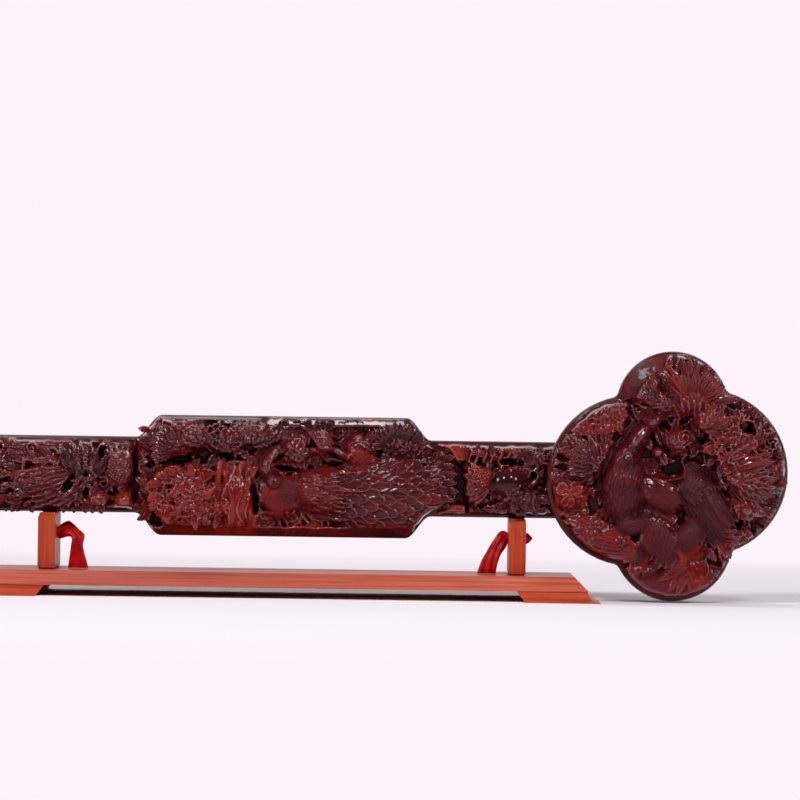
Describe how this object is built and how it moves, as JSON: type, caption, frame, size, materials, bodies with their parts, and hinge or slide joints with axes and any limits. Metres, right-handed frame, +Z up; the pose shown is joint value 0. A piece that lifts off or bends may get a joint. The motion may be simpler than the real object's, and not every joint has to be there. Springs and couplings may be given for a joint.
{
  "type": "ruyi scepter on stand",
  "caption": "Carved wooden ruyi scepter with a four-lobed head, standing on its edge in a wooden two-post stand with red ribbons; it lifts off.",
  "frame": {"origin": "on the surface that the stand rests on, below the middle of the whole object's box", "axes": "+X along the scepter towards its head, +Y towards its flat back, +Z up; the carved face looks towards -Y"},
  "size_m": [0.5814, 0.095, 0.1492],
  "materials": {
    "carved_wood": "gloss waxed rosewood, deeply carved",
    "polished_wood": "high polish rosewood",
    "stand_wood": "satin lacquer over orange-red wood",
    "dowel_wood": "plain raw wood",
    "ribbon": "satin"
  },
  "bodies": {
    "stand": {"base_board": "stand_wood", "foot_left": "stand_wood", "foot_right": "stand_wood", "foot_dowel_left_front": "dowel_wood", "foot_dowel_left_back": "dowel_wood", "foot_dowel_right_front": "dowel_wood", "foot_dowel_right_back": "dowel_wood", "post_left": "stand_wood", "post_right": "stand_wood", "ribbon_left": "ribbon", "ribbon_right": "ribbon"},
    "scepter": {"handle_rail": "polished_wood", "left_handle_carving": "carved_wood", "right_handle_carving": "carved_wood", "middle_plaque": "carved_wood", "head_plate": "polished_wood", "head_carving": "carved_wood", "head_neck_block": "polished_wood", "tail_plate": "polished_wood", "tail_carving": "carved_wood", "tail_neck_block": "polished_wood", "head_dowel_inner": "dowel_wood", "head_dowel_outer": "dowel_wood", "tail_dowel_inner": "dowel_wood", "tail_dowel_outer": "dowel_wood", "plaque_dowel_left": "dowel_wood", "plaque_dowel_right": "dowel_wood"}
  },
  "joints": [
    {"name": "scepter_lift", "type": "slide", "parent": "stand", "child": "scepter", "axis": [0, 0, 1], "range_m": [0, 0.08]}
  ]
}
